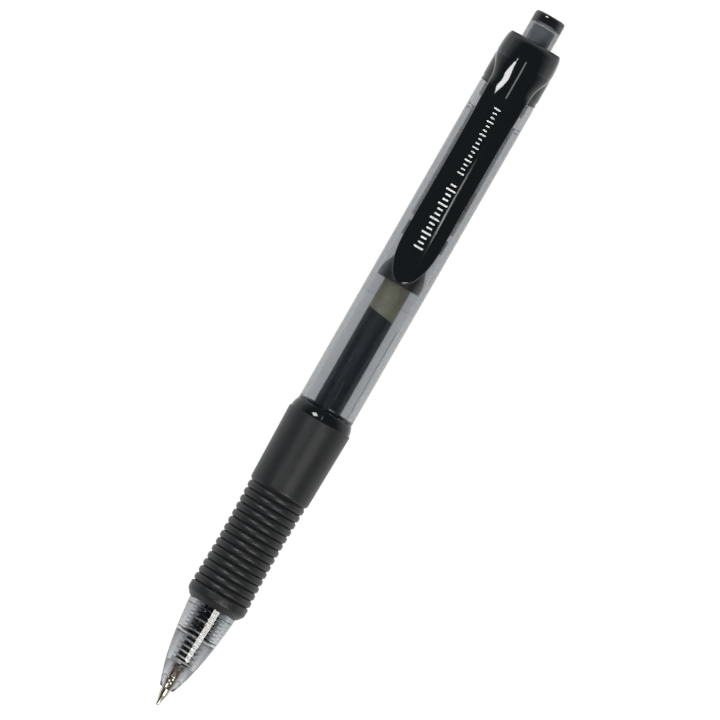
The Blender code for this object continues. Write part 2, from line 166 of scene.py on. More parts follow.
# Grip ribs.
LIP_BACK = GRIP_FRONT + 2.7
RIB_PITCH = 1.47
RIB_COUNT = 14
RIB_HEIGHT = 0.42
RIB_BREADTH = 3.2
RIB_ROUNDING = 1.1
RIBS_BACK = LIP_BACK + 0.15 + RIB_PITCH * RIB_COUNT
WAIST_STATION = 34.0
WAIST_RADIUS = 5.55
RIB_END_RADIUS = 5.78

# Ink.
INK_LEVEL = 81.0
INK_SLANT = 0.16

# Cam teeth, the rotor's fins, the thrust tube's keys, and the guide's slots for both.
TEETH = 8
TOOTH_DEPTH = 0.8
FIN_COUNT = 4
FIN_WIDTH = 0.62
FIN_ROOT = 2.4
FIN_REACH = 4.15
FIN_CHAMFER = 0.15
FIN_FRONT = 95.6
FIN_BACK = 98.4
KEY_FRONT = 102.4
KEY_BACK = 108.4
SLOT_WIDTH = 1.2
SLOT_BACK = 115.5

# Facets round a turned piece, and the corner angle that stays sharp.
SIDES = 128
SHARP = math.radians(32)


# ---------------------------------------------------------------- mesh helpers


def placed(points):
    """Rows of (station, y, z) in millimetres, as places in the frame."""
    return np.asarray(points, float) * (MM, ACROSS, ACROSS) + (TIP_X, 0, AXIS_Z)


def piece_of(name, points, faces, sharp=SHARP):
    mesh = bpy.data.meshes.new(name)
    mesh.from_pydata(placed(points).tolist(), [], faces)
    mesh.validate()
    mesh.shade_smooth()
    mesh.set_sharp_from_angle(angle=sharp)
    piece = bpy.data.objects.new(name, mesh)
    bpy.context.scene.collection.objects.link(piece)
    return piece


def even_normals(piece):
    """Lets wide faces keep their own shading beside narrow rounded edges."""
    weigh = piece.modifiers.new("even_normals", "WEIGHTED_NORMAL")
    weigh.keep_sharp = True
    return piece


def rounded(corners, fillet=0.12, steps=4):
    """A closed outline of (station, radius[, fillet]) corners, with its corners rounded off."""
    outline = []
    for k, corner in enumerate(corners):
        here = np.array(corner[:2], float)
        wanted = corner[2] if len(corner) > 2 else fillet
        before = np.array(corners[k - 1][:2], float) - here
        after = np.array(corners[(k + 1) % len(corners)][:2], float) - here
        reach = min(wanted, 0.45 * np.linalg.norm(before), 0.45 * np.linalg.norm(after))
        if reach < 1e-6 or here[1] == 0:
            outline.append(tuple(here))
            continue
        start = here + before / np.linalg.norm(before) * reach
        stop = here + after / np.linalg.norm(after) * reach
        for t in np.linspace(0, 1, steps + 1):
            at = (1 - t) ** 2 * start + 2 * t * (1 - t) * here + t * t * stop
            outline.append(tuple(at))
    return outline


def turned(name, outline, sides=SIDES, bend=None):
    """A closed outline turned about the pen's axis. Radius 0 is on the axis.

    A bend takes a station, a radius and the angles round it, and gives the stations and radii
    to use there.
    """
    points, rows = [], []
    for station, radius in outline:
        count = sides if radius > 0 else 1
        angles = np.arange(count) * FULL_TURN / sides
        s, r = bend(station, radius, angles) if bend else (station, radius)
        s = np.broadcast_to(s, angles.shape)
        r = np.broadcast_to(r, angles.shape)
        rows.append(len(points) + np.arange(count))
        points += np.column_stack([s, r * np.sin(angles), r * np.cos(angles)]).tolist()
    faces = []
    for here, there in zip(rows, rows[1:] + rows[:1]):
        if len(here) == len(there) == 1:
            continue
        for k in range(sides):
            a, b = here[k % len(here)], here[(k + 1) % len(here)]
            c, d = there[(k + 1) % len(there)], there[k % len(there)]
            faces.append([int(i) for i in dict.fromkeys([a, b, c, d])])
    piece = piece_of(name, points, faces)
    return even_normals(outward(piece))


def outward(piece):
    """Turns every face to point out of the closed solid."""
    shape = bmesh.new()
    shape.from_mesh(piece.data)
    bmesh.ops.recalc_face_normals(shape, faces=shape.faces)
    shape.to_mesh(piece.data)
    shape.free()
    return piece


def lofted(name, sections, sharp=SHARP):
    """A solid through closed sections of equal length, with a face on each end."""
    count = len(sections[0])
    points = [point for section in sections for point in section]
    faces = [list(range(count)), list(range(len(points) - count, len(points)))]
    for row in range(len(sections) - 1):
        for k in range(count):
            a, b = row * count + k, row * count + (k + 1) % count
            faces.append([a, b, b + count, a + count])
    return outward(piece_of(name, points, faces, sharp))


def prism(name, outline, front, back, turn):
    """A solid with an outline of (y, z) corners between two stations, turned about the axis."""
    spin = Matrix.Rotation(turn, 3, "X")
    sections = []
    for station in (front, back):
        sections.append([tuple(spin @ Vector((station, *corner))) for corner in outline])
    return lofted(name, sections)


def block(name, front, back, y, z, turn):
    """A box between two stations, with its (low, high) in y and in z, turned about the axis."""
    outline = [(y[0], z[0]), (y[1], z[0]), (y[1], z[1]), (y[0], z[1])]
    return prism(name, outline, front, back, turn)


def combine(piece, tool, operation):
    """Joins the tool to the piece, or cuts it out, and keeps only the result."""
    change = piece.modifiers.new("combine", "BOOLEAN")
    change.operation = operation
    change.solver = "MANIFOLD"
    change.object = tool
    while piece.modifiers[0] != change:
        piece.modifiers.move(len(piece.modifiers) - 1, 0)
    others = [m for m in piece.modifiers if m != change]
    for other in others:
        other.show_viewport = False
    graph = bpy.context.evaluated_depsgraph_get()
    mesh = bpy.data.meshes.new_from_object(piece.evaluated_get(graph))
    piece.modifiers.remove(change)
    for other in others:
        other.show_viewport = True
    piece.data = mesh
    mesh.set_sharp_from_angle(angle=SHARP)
    bpy.data.objects.remove(tool)


def smooth_curve(table, at):
    """A smooth curve through the (place, value) pairs of a table."""
    x, y = np.array(table, float).T
    slope = np.gradient(y, x)
    at = min(max(at, x[0]), x[-1])
    k = int(min(np.searchsorted(x, at, side="right") - 1, len(x) - 2))
    span = x[k + 1] - x[k]
    t = (at - x[k]) / span
    h00, h10 = 2 * t**3 - 3 * t**2 + 1, t**3 - 2 * t**2 + t
    h01, h11 = -2 * t**3 + 3 * t**2, t**3 - t**2
    return h00 * y[k] + h10 * span * slope[k] + h01 * y[k + 1] + h11 * span * slope[k + 1]


def ramp(value, low, high):
    """From 0 at low to 1 at high, with soft ends."""
    t = min(max((value - low) / (high - low), 0), 1)
    return t * t * (3 - 2 * t)


# ---------------------------------------------------------------- materials


class Look:
    """A material with one Principled shader, and the textures that vary it."""

    def __init__(self, name, colour, roughness, **values):
        self.material = bpy.data.materials.new(name)
        self.material.use_nodes = True
        self.nodes = self.material.node_tree.nodes
        self.links = self.material.node_tree.links
        self.shader = self.nodes["Principled BSDF"]
        self.shader.inputs["Base Color"].default_value = (*colour, 1)
        self.shader.inputs["Roughness"].default_value = roughness
        for label, value in values.items():
            self.shader.inputs[label.replace("_", " ")].default_value = value
        self.place = self.nodes.new("ShaderNodeTexCoord").outputs["Object"]
        self.height = None

    def noise(self, size, stretch=(1, 1, 1), detail=3.0):
        """Noise with features of about `size` millimetres, longer along a larger stretch."""
        scale = self.nodes.new("ShaderNodeMapping")
        scale.inputs["Scale"].default_value = [1 / (size * MM * s) for s in stretch]
        self.links.new(self.place, scale.inputs["Vector"])
        texture = self.nodes.new("ShaderNodeTexNoise")
        texture.inputs["Scale"].default_value = 1.0
        texture.inputs["Detail"].default_value = detail
        self.links.new(scale.outputs["Vector"], texture.inputs["Vector"])
        return texture.outputs["Fac"]

    def ranged(self, value, low, high):
        """A texture's middle range, stretched to go from low to high."""
        made = self.nodes.new("ShaderNodeMapRange")
        made.inputs["From Min"].default_value = 0.3
        made.inputs["From Max"].default_value = 0.7
        made.inputs["To Min"].default_value = low
        made.inputs["To Max"].default_value = high
        self.links.new(value, made.inputs["Value"])
        return made.outputs["Result"]

    def vary_roughness(self, value, low, high):
        self.links.new(self.ranged(value, low, high), self.shader.inputs["Roughness"])

    def vary_colour(self, value, first, second):
        mix = self.nodes.new("ShaderNodeMix")
        mix.data_type = "RGBA"
        colours = [i for i in mix.inputs if i.type == "RGBA"]
        colours[0].default_value = (*first, 1)
        colours[1].default_value = (*second, 1)
        self.links.new(self.ranged(value, 0, 1), mix.inputs["Factor"])
        result = next(o for o in mix.outputs if o.type == "RGBA")
        self.links.new(result, self.shader.inputs["Base Color"])

    def bump(self, value, depth):
        """Relief of `depth` millimetres, on top of any relief before it."""
        made = self.nodes.new("ShaderNodeBump")
        made.inputs["Strength"].default_value = 1.0
        made.inputs["Distance"].default_value = depth * MM
        self.links.new(value, made.inputs["Height"])
        if self.height is not None:
            self.links.new(self.height, made.inputs["Normal"])
        self.height = made.outputs["Normal"]
        self.links.new(self.height, self.shader.inputs["Normal"])

    def rings(self, pitch):
        """Fine turning marks round the pen's axis."""
        wave = self.nodes.new("ShaderNodeTexWave")
        wave.bands_direction = "X"
        wave.inputs["Scale"].default_value = FULL_TURN / (20 * pitch * MM)
        wave.inputs["Distortion"].default_value = 1.2
        wave.inputs["Detail"].default_value = 2.0
        self.links.new(self.place, wave.inputs["Vector"])
        return wave.outputs["Fac"]

    def absorb(self, density, colour=(0.0, 0.0, 0.0)):
        """Takes up light with depth, so that thick plastic looks darker than thin."""
        inside = self.nodes.new("ShaderNodeVolumeAbsorption")
        inside.inputs["Density"].default_value = density / MM
        inside.inputs["Color"].default_value = (*colour, 1)
        self.links.new(inside.outputs["Volume"], self.nodes["Material Output"].inputs["Volume"])

    def let_lamps_through(self, share):
        """Lamps light what lies behind this clear plastic."""
        output = self.nodes["Material Output"]
        clear = self.nodes.new("ShaderNodeBsdfTransparent")
        clear.inputs["Color"].default_value = (share, share, share, 1)
        ray = self.nodes.new("ShaderNodeLightPath")
        mix = self.nodes.new("ShaderNodeMixShader")
        self.links.new(ray.outputs["Is Shadow Ray"], mix.inputs["Fac"])
        self.links.new(self.shader.outputs["BSDF"], mix.inputs[1])
        self.links.new(clear.outputs["BSDF"], mix.inputs[2])
        self.links.new(mix.outputs["Shader"], output.inputs["Surface"])


def smoke_plastic(name, tint, density, ior=1.5):
    """Clear grey plastic, with faint flow lines and handling marks."""
    look = Look(name, (tint, tint * 1.01, tint * 1.02), 0.03, IOR=ior, Transmission_Weight=1.0)
    look.vary_roughness(look.noise(1.6, (3, 1, 1)), 0.0, 0.012)
    look.absorb(density, (0.0, 0.03, 0.06))
    look.let_lamps_through(0.88)
    return look.material


def dark_smoke_plastic():
    look = Look("dark_smoke_plastic", (0.006, 0.008, 0.009), 0.08, IOR=1.37)
    look.vary_roughness(look.noise(0.7, (3, 1, 1)), 0.03, 0.1)
    look.bump(look.noise(1.2, (5, 1, 1), 1.0), 0.002)
    return look.material


def black_gloss_plastic():
    """Polished black moulding, with hairline scratches along it."""
    look = Look("black_gloss_plastic", (0.006, 0.008, 0.009), 0.1, IOR=1.43)
    look.vary_roughness(look.noise(0.8, (4, 1, 1)), 0.03, 0.07)
    look.bump(look.noise(0.05, (60, 1, 1), 2.0), 0.0004)
    look.bump(look.noise(6.0, (3, 1, 1), 0.0), 0.004)
    return look.material


def grip_rubber():
    look = Look("grip_rubber", (0.010, 0.011, 0.012), 0.5, IOR=1.5, Specular_IOR_Level=0.32)
    look.vary_colour(look.noise(1.8), (0.008, 0.009, 0.011), (0.012, 0.0125, 0.012))
    look.vary_roughness(look.noise(0.5), 0.35, 0.46)
    look.bump(look.noise(0.09, detail=2.0), 0.01)
    return look.material


def mechanism_plastic(name, shade):
    look = Look(name, (shade, shade * 1.08, shade * 1.16), 0.4, Specular_IOR_Level=0.3)
    look.vary_roughness(look.noise(0.6), 0.36, 0.5)
    look.bump(look.noise(0.15), 0.004)
    return look.material


def holder_plastic():
    look = Look("holder_plastic", (0.012, 0.016, 0.016), 0.16)
    look.vary_roughness(look.noise(0.4, (3, 1, 1)), 0.1, 0.24)
    look.bump(look.noise(0.2), 0.002)
    return look.material


def refill_plastic():
    look = Look("refill_plastic", (0.9, 0.92, 0.93), 0.08, IOR=1.48, Transmission_Weight=1.0)
    look.vary_roughness(look.noise(1.0, (6, 1, 1)), 0.04, 0.12)
    look.let_lamps_through(0.92)
    return look.material


def gel_ink():
    look = Look("gel_ink", (0.008, 0.014, 0.022), 0.25)
    look.vary_colour(look.noise(2.0, (5, 1, 1)), (0.012, 0.018, 0.022), (0.010, 0.022, 0.034))
    look.vary_roughness(look.noise(0.8, (5, 1, 1)), 0.3, 0.5)
    return look.material


def follower_grease():
    soft = {"Subsurface_Weight": 0.3, "Subsurface_Scale": 1.2 * MM}
    look = Look("follower_grease", (0.3, 0.298, 0.21), 0.3, **soft)
    look.vary_colour(look.noise(1.4), (0.27, 0.268, 0.19), (0.34, 0.338, 0.24))
    look.vary_roughness(look.noise(0.6), 0.3, 0.5)
    return look.material


def spring_steel():
    look = Look("spring_steel", (0.8, 0.8, 0.77), 0.2, Metallic=1.0)
    look.vary_roughness(look.noise(0.12), 0.36, 0.52)
    look.bump(look.noise(0.05), 0.002)
    return look.material


def tip_metal():
    look = Look("tip_metal", (0.56, 0.51, 0.42), 0.2, Metallic=1.0)
    look.vary_roughness(look.rings(0.05), 0.13, 0.28)
    look.bump(look.rings(0.05), 0.0003)
    return look.material


def ball_carbide():
    look = Look("ball_carbide", (0.35, 0.35, 0.36), 0.12, Metallic=1.0)
    look.vary_roughness(look.noise(0.05), 0.08, 0.2)
    return look.material


def print_white():
    look = Look("print_white", (0.62, 0.63, 0.64), 0.45)
    look.vary_colour(look.noise(0.3), (0.56, 0.57, 0.58), (0.68, 0.69, 0.70))
    look.bump(look.noise(0.06), 0.002)
    return look.material


SMOKE = smoke_plastic("smoke_plastic", 0.84, 0.4)
NOSE_SMOKE = smoke_plastic("nose_smoke", 0.87, 0.33)
GUIDE_SMOKE = smoke_plastic("guide_smoke", 0.93, 0.3, ior=1.1)
BUTTON_SMOKE = smoke_plastic("button_smoke", 0.84, 0.75)
DARK_SMOKE = dark_smoke_plastic()
BLACK = black_gloss_plastic()
RUBBER = grip_rubber()
MECHANISM = mechanism_plastic("mechanism_plastic", 0.05)
# A paler copy of the mechanism plastic, which is painted light on the stem seen through the button.
STEM_PAINTED_LIGHTER = mechanism_plastic("stem_painted_lighter", 0.22)
HOLDER = holder_plastic()
CLEAR = refill_plastic()
INK = gel_ink()
GREASE = follower_grease()
SPRING = spring_steel()
METAL = tip_metal()
CARBIDE = ball_carbide()
PRINT = print_white()


def finish_piece(piece, look, nodes=(), body=None):
    """Gives the piece its material, the CAD nodes that it stands for and its body."""
    piece.data.materials.clear()
    piece.data.materials.append(look)
    if nodes:
        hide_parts(*nodes)
    if body:
        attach(piece, body)


# ---------------------------------------------------------------- nose


def cone_radius(station):
    """The nose's outside, steep at the tip and flatter towards the grip."""
    along = (station - CONE_FRONT) / (CONE_BACK + 0.5 - CONE_FRONT)
    return 1.38 + 1.75 * along + 1.6 * (1 - (1 - along) ** 3)


def thread_rings(root, crest):
    """V-shaped rings at the thread's pitch, each followed by a land as wide."""
    outline = []
    for k in range(THREAD_COUNT):
        front = BARREL_FRONT + THREAD_PITCH * (k + 0.3)
        for share, radius in ((0.0, root), (0.25, crest), (0.5, root)):
            outline.append((front + THREAD_PITCH * share, radius, 0))
    return outline


def nose_cone():
    """Clear cone with a throat for the tip, a spring chamber and a wider chamber for the thread."""
    mouth, throat, spring_room = 1.15, 1.56, 2.36
    back = GRIP_FRONT - 0.03
    outside = [(s, cone_radius(s), 0) for s in np.linspace(CONE_FRONT + 0.12, back - 0.1, 40)]
    inside = [
        (back, cone_radius(back) - 0.1),
        (back, NUT_CREST, 0.1),
        *reversed(thread_rings(NUT_CREST, NUT_ROOT)),
        (BARREL_FRONT - 0.3, NUT_CREST, 0.03),
        (BARREL_FRONT - 0.55, spring_room + 0.06, 0.2),
        (SPRING_SEAT, spring_room, 0.1),
        (SPRING_SEAT - 0.1, throat, 0.1),
        (5.9, throat, 0.2),
        (5.5, mouth, 0.2),
        (CONE_FRONT, mouth, 0.08),
        (CONE_FRONT, cone_radius(CONE_FRONT) - 0.1, 0.08),
    ]
    piece = turned("nose_cone_clear", rounded(outside + inside))
    finish_piece(piece, NOSE_SMOKE, ["nose_cone"], "nose")


# ---------------------------------------------------------------- barrel and grip


def ring_groove(station, depth):
    """The outline of a fine groove round the barrel's outside, which tapers a little."""
    share = (station - COLLAR_BACK) / (BARREL_BACK - COLLAR_BACK)
    radius = BARREL_FRONT_RADIUS + (BARREL_RADIUS - BARREL_FRONT_RADIUS) * share
    half = 0.08
    return [(station - half, radius, 0), (station, radius - depth, 0), (station + half, radius, 0)]


def barrel():
    """Clear tube with a male thread, ring grooves under the cap and fine mould lines."""
    grooves = [point for groove in RING_GROOVES for point in ring_groove(*groove)]
    outline = [
        (BARREL_FRONT, THREAD_ROOT),
        *thread_rings(THREAD_ROOT, THREAD_CREST),
        (GRIP_FRONT, THREAD_ROOT),
        (GRIP_FRONT, GRIP_SEAT_RADIUS),
        (COLLAR_BACK + 0.01, GRIP_SEAT_RADIUS),
        (COLLAR_BACK + 0.01, BARREL_FRONT_RADIUS, 0.05),
        *grooves,
        (BARREL_BACK, BARREL_RADIUS, 0.12),
        (BARREL_BACK, CAP_BORE, 0.1),
        (GUIDE_FLANGE, CAP_BORE, 0.05),
        (GUIDE_FLANGE, GUIDE_BORE, 0.05),
        (GUIDE_STEP, GUIDE_BORE, 0.04),
        (GUIDE_STEP, REFILL_WINDOW_BORE, 0.04),
        (COLLAR_BACK + 0.4, REFILL_WINDOW_BORE, 0.5),
        (COLLAR_BACK - 1.0, GRIP_BORE, 0.5),
        (GRIP_FRONT + 2.0, GRIP_BORE),
        (GRIP_FRONT + 1.4, FRONT_BORE),
        (BARREL_FRONT, FRONT_BORE),
    ]
    piece = turned("barrel_clear", rounded(outline))
    for front, back, half_width, turn in MOULD_LINES:
        across, out = (-half_width, half_width), (MOULD_LINE_FLOOR, BARREL_RADIUS + 0.4)
        line = block("mould_line", front, back, across, out, turn)
        combine(piece, line, "DIFFERENCE")
    finish_piece(piece, SMOKE, ["barrel"], "body")


def grip_crest(station):
    """The radius of the ribs' crests, least at the grip's waist."""
    bow = (station - WAIST_STATION) / (RIBS_BACK + 0.5 - WAIST_STATION)
    return WAIST_RADIUS + (RIB_END_RADIUS - WAIST_RADIUS) * bow * bow


def rib_height(share):
    """The rib's height over one pitch: a broad crest and a narrow round valley."""
    return (1 - abs(2 * share - 1) ** RIB_BREADTH) ** RIB_ROUNDING


def grip_sleeve():
    """Rubber sleeve with a bevelled lip, fourteen ribs round its waist and a smooth upper part."""
    steps = 16
    bore = GRIP_SEAT_RADIUS + FIT
    lip = rounded(
        [
            (GRIP_FRONT, bore, 0),
            (GRIP_FRONT, 4.9, 0.1),
            (GRIP_FRONT + 1.1, 5.78, 0.35),
            (LIP_BACK - 0.1, 5.82, 0.35),
            (LIP_BACK + 0.1, WAIST_RADIUS - 0.2, 0.1),
            (LIP_BACK + 0.15, WAIST_RADIUS - 0.2, 0),
        ],
        steps=6,
    )[:-1]
    ribs = []
    for k in range(RIB_COUNT):
        front = LIP_BACK + 0.15 + RIB_PITCH * k
        for step in range(steps):
            share = step / steps
            station = front + RIB_PITCH * share
            ribs.append((station, grip_crest(station) - RIB_HEIGHT * (1 - rib_height(share))))
    upper = rounded(
        [
            (RIBS_BACK, RIB_END_RADIUS - RIB_HEIGHT, 0.1),
            (RIBS_BACK + 0.5, RIB_END_RADIUS + 0.1, 0.3),
            (RIBS_BACK + 7.0, 6.02, 3.0),
            (COLLAR_FRONT - 0.12, GRIP_TOP_RADIUS, 0.0),
            (COLLAR_FRONT - 0.02, GRIP_TOP_RADIUS - 0.1, 0.08),
            (COLLAR_FRONT - 0.02, bore, 0),
        ],
        steps=6,
    )
    piece = turned("grip_ribbed", lip + ribs + upper, 160)
    finish_piece(piece, RUBBER, ["grip_sleeve"], "body")


def grip_collar():
    """Glossy ring that rounds down from the grip to the clear barrel."""
    bore = GRIP_SEAT_RADIUS + FIT
    profile = [(0.0, 6.02), (0.35, 6.0), (0.8, 5.92), (1.25, 5.78), (1.6, 5.63), (1.8, 5.52)]
    crown = []
    for t in np.linspace(0, profile[-1][0], 12):
        crown.append((COLLAR_FRONT + t, smooth_curve(profile, t), 0))
    outline = [(COLLAR_FRONT, bore), *crown, (COLLAR_BACK, 5.45, 0.05), (COLLAR_BACK, bore)]
    piece = turned("collar_gloss", rounded(outline, 0.06))
    finish_piece(piece, DARK_SMOKE, ["grip_collar"], "body")


# ---------------------------------------------------------------- cap and clip


def top_cap():
    """Dark ring between the barrel and the clip, with a groove just behind its front edge."""
    outline = [
        (SPIGOT_FRONT, FLANGE_ROOM),
        (SPIGOT_FRONT, CAP_BORE - FIT, 0.2),
        (CAP_FRONT, CAP_BORE - FIT, 0.02),
        (CAP_FRONT, 5.52, 0.1),
        (CAP_FRONT + 0.5, 5.58, 0.1),
        (CAP_FRONT + 0.6, 5.5, 0.05),
        (CAP_FRONT + 1.05, 5.5, 0.05),
        (CAP_FRONT + 1.15, CAP_RADIUS, 0.05),
        (RING_FRONT - 0.1, CAP_RADIUS, 0.1),
        (RING_FRONT - 0.1, CAP_NECK_RADIUS),
        (CAP_BACK, CAP_NECK_RADIUS),
        (CAP_BACK, BUTTON_HOLE),
        (FLANGE_STOP, BUTTON_HOLE),
        (FLANGE_STOP, FLANGE_ROOM),
    ]
    piece = turned("cap_ring", rounded(outline))
    finish_piece(piece, DARK_SMOKE, ["top_cap"], "body")


# The clip by station, from the rounded tongue end to the cap's top. The values are millimetres,
# apart from the squareness, which is the power that rounds the section's shoulders.
TONGUE_BACK = 96.1
TONGUE_WIDTH = 3.7
CLIP_WIDTH = [
    (TONGUE_BACK, TONGUE_WIDTH), (101.5, 3.71), (110.5, 3.73), (119.5, 3.84), (124.0, 3.98),
    (127.1, 4.13), (128.4, 4.23), (129.7, 4.5), (130.9, 4.98), (131.9, 5.38), (132.8, 5.57),
    (134.2, 5.58), (135.6, 5.46), (136.6, 5.26), (137.1, 4.98),
]
CLIP_TOP = [
    (87.5, 6.66), (87.7, 6.8), (88.0, 6.85), (88.6, 6.88), (91.0, 6.997), (93.0, 7.092),
    (96.0, 7.221), (99.6, 7.357), (103.5, 7.488), (107.5, 7.614), (111.4, 7.735),
    (114.0, 7.803), (117.0, 7.861), (120.0, 7.892), (122.5, 7.9), (124.7, 7.9), (125.6, 7.889),
    (127.6, 7.785), (129.65, 7.566), (131.7, 7.231), (133.7, 6.79), (135.4, 6.22),
    (136.6, 5.62), (137.1, 5.1),
]
CLIP_UNDER = [
    (87.5, 6.25), (88.6, 5.98), (90.2, 5.82), (91.4, 5.88), (93.0, 6.1), (96.0, 6.25),
    (110.5, 6.38), (119.5, 6.4), (124.0, 6.25), (126.6, 5.98),
]
CLIP_SQUARENESS = [(87.5, 3.7), (126.0, 3.7), (129.0, 3.5), (132.0, 3.0), (137.1, 2.6)]
CROWN_RADIUS = [(87.5, 9.0), (120.0, 9.0), (126.0, 11.0), (137.1, 11.0)]

# The clip's underside takes the cap's round shape between these stations. Its bore there clears
# the cap, and then sinks into the clip's own ring.
SADDLE_STARTS, SADDLE_ENDS = 126.2, 128.6
SADDLE_BORE = 5.67
RING_EMBED = 5.2


class ClipSlice:
    """The clip's cross-section at one station."""

    def __init__(self, station):
        self.station = station
        self.width = self.half_width()
        self.saddle = ramp(station, SADDLE_STARTS, SADDLE_ENDS)
        in_ring = ramp(station, RING_FRONT - 0.1, RING_FRONT + 0.2)
        self.bore = SADDLE_BORE + (RING_EMBED - SADDLE_BORE) * in_ring
        self.under = smooth_curve(CLIP_UNDER, station)
        on_cap = math.sqrt(max(self.bore**2 - self.width**2, 0.01))
        self.low = self.under + (on_cap - self.under) * self.saddle
        self.square = smooth_curve(CLIP_SQUARENESS, station)
        self.rise = smooth_curve(CLIP_TOP, station) - self.low
        self.round = smooth_curve(CROWN_RADIUS, station)

    def half_width(self):
        if self.station >= TONGUE_BACK:
            return smooth_curve(CLIP_WIDTH, self.station)
        along = (TONGUE_BACK - self.station) / (TONGUE_BACK - ARM_FRONT)
        return TONGUE_WIDTH * max(1 - along**2.2, 0.0005) ** (1 / 2.2)

    def top(self, y):
        """Height of the top face at a distance y from the middle."""
        share = np.minimum(np.abs(y) / self.width, 1)
        height = self.rise * (1 - share**self.square) ** (1 / self.square)
        drop = self.round - np.sqrt(self.round**2 - y**2)
        return self.low + height - drop * np.clip(height / self.rise, 0, 1) ** 2

    def bottom(self, y):
        """Height of the underside, flat on the arm and hollow over the cap."""
        arc = np.sqrt(np.maximum(self.bore**2 - y**2, 0.01))
        return self.under + (arc - self.under) * self.saddle

    def outline(self):
        """The section's points, evenly spaced along its top and along its underside."""
        y = self.width * np.sin(np.linspace(0, math.pi / 2, 400))
        z = self.top(y)
        run = np.concatenate([[0], np.cumsum(np.hypot(np.diff(y), np.diff(z)))])
        marks = np.linspace(0, run[-1], 26)
        below = np.linspace(self.width, 0, 10)[1:]
        right_y = np.concatenate([np.interp(marks, run, y), below])
        right_z = np.concatenate([np.interp(marks, run, z), self.bottom(below)])
        ys = np.concatenate([right_y, -right_y[-2:0:-1]])
        zs = np.concatenate([right_z, right_z[-2:0:-1]])
        return np.column_stack([np.full(len(ys), self.station), ys, zs]).tolist()


def clip():
    """Ring, shoulders and spring arm, which are one moulding and bend where the arm starts."""
    tongue = TONGUE_BACK - (TONGUE_BACK - ARM_FRONT) * np.sin(np.linspace(math.pi / 2, 0, 26))
    arm_back = 124.0
    arm = np.linspace(TONGUE_BACK, arm_back, 24)[1:]
    saddle = np.linspace(arm_back, CLIP_BACK - 0.06, 60)[1:]
    stations = [float(s) for s in [*tongue, *arm, *saddle]]
    piece = lofted("clip_moulding", [ClipSlice(s).outline() for s in stations])
    ring_bore = CAP_NECK_RADIUS + 0.06
    ring = [
        (RING_FRONT, ring_bore, 0.02),
        (RING_FRONT, CAP_RADIUS, 0.12),
        (134.2, CAP_RADIUS, 0.5),
        (135.6, 5.48, 0.5),
        (136.6, 5.3, 0.4),
        (CLIP_BACK, 4.95, 0.3),
        (CLIP_BACK, BUTTON_HOLE, 0.15),
        (CAP_BACK + 0.2, BUTTON_HOLE, 0.02),
        (CAP_BACK + 0.2, ring_bore, 0.02),
    ]
    combine(piece, turned("clip_ring", rounded(ring, steps=6)), "UNION")
    even_normals(piece)
    finish_piece(piece, BLACK, ["clip_base", "clip_arm"])
    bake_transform(piece)


def printed_bar(front, back, low, high):
    """One bar printed on the clip's face, which follows its crown."""
    count, proud, sunk = 6, 0.012, 0.05
    top, bottom = [], []
    for station in (front, back):
        face = ClipSlice(station)
        for y in np.linspace(low, high, count):
            z = float(face.top(y))
            top.append((station, y, z + proud))
            bottom.append((station, y, z - sunk))
    points = top + bottom
    faces = []
    for k in range(count - 1):
        faces.append([k, k + 1, count + k + 1, count + k])
        faces.append([2 * count + k + 1, 2 * count + k, 3 * count + k, 3 * count + k + 1])
        faces.append([k + 1, k, 2 * count + k, 2 * count + k + 1])
        faces.append([count + k, count + k + 1, 3 * count + k + 1, 3 * count + k])
    for k in (0, count - 1):
        faces.append([k, count + k, 3 * count + k, 2 * count + k])
    return points, faces


def clip_print():
    """A plain graduated scale in two sizes, every third mark longer."""
    points, faces = [], []
    middle, short = 0.16, 0.6
    # Each row's front, number of marks, pitch, thickness and half the length of a long mark.
    rows = [(94.6, 14, 0.98, 0.34, 0.92), (109.9, 16, 0.88, 0.26, 0.64)]
    for front, count, pitch, thick, reach in rows:
        for k in range(count):
            start = front + pitch * k
            half = reach if k % 3 == 0 else short * reach
            low, high = middle - half, middle + half
            bar_points, bar_faces = printed_bar(start, start + thick, low, high)
            faces += [[i + len(points) for i in face] for face in bar_faces]
            points += bar_points
    piece = outward(piece_of("clip_print", points, faces))
    finish_piece(piece, PRINT, (), "clip")


# ---------------------------------------------------------------- button and cam mechanism


def push_button():
    """Smoke button with a bore for the thrust tube's stem and a flange that the cap holds in."""
    outline = [
        (BUTTON_BACK, 0),
        (BUTTON_BACK, BUTTON_RADIUS, 0.7),
        (BUTTON_FRONT + 1.4, BUTTON_RADIUS, 0.05),
        (BUTTON_FRONT + 1.4, FLANGE_RADIUS),
        (BUTTON_FRONT, FLANGE_RADIUS),
        (BUTTON_FRONT, BUTTON_BORE, 0.08),
        (BUTTON_BACK - 1.7, BUTTON_BORE, 0.7),
        (BUTTON_BACK - 1.5, 0),
    ]
    piece = turned("button_clear", rounded(outline, steps=8))
    finish_piece(piece, BUTTON_SMOKE, ["push_button"], "plunger")


def toothed(end, depth):
    """A bend that cuts even teeth into the end face at station `end`."""

    def bend(station, radius, angles):
        if abs(station - end) > 0.12:
            return station, radius
        turn = (angles / FULL_TURN * TEETH) % 1
        return station + depth * (1 - np.abs(2 * turn - 1)), radius

    return bend


def add_fins(piece, front, back, count):
    """Joins fins to the piece, a quarter turn apart from +Z towards -Y."""
    half = FIN_WIDTH / 2
    outline = [(-half, FIN_ROOT), (half, FIN_ROOT)]
    outline += [(half, FIN_REACH - FIN_CHAMFER), (half - FIN_CHAMFER, FIN_REACH)]
    outline += [(FIN_CHAMFER - half, FIN_REACH), (-half, FIN_REACH - FIN_CHAMFER)]
    for k in range(count):
        fin = prism("fin", outline, front, back, FULL_TURN * k / FIN_COUNT)
        combine(piece, fin, "UNION")


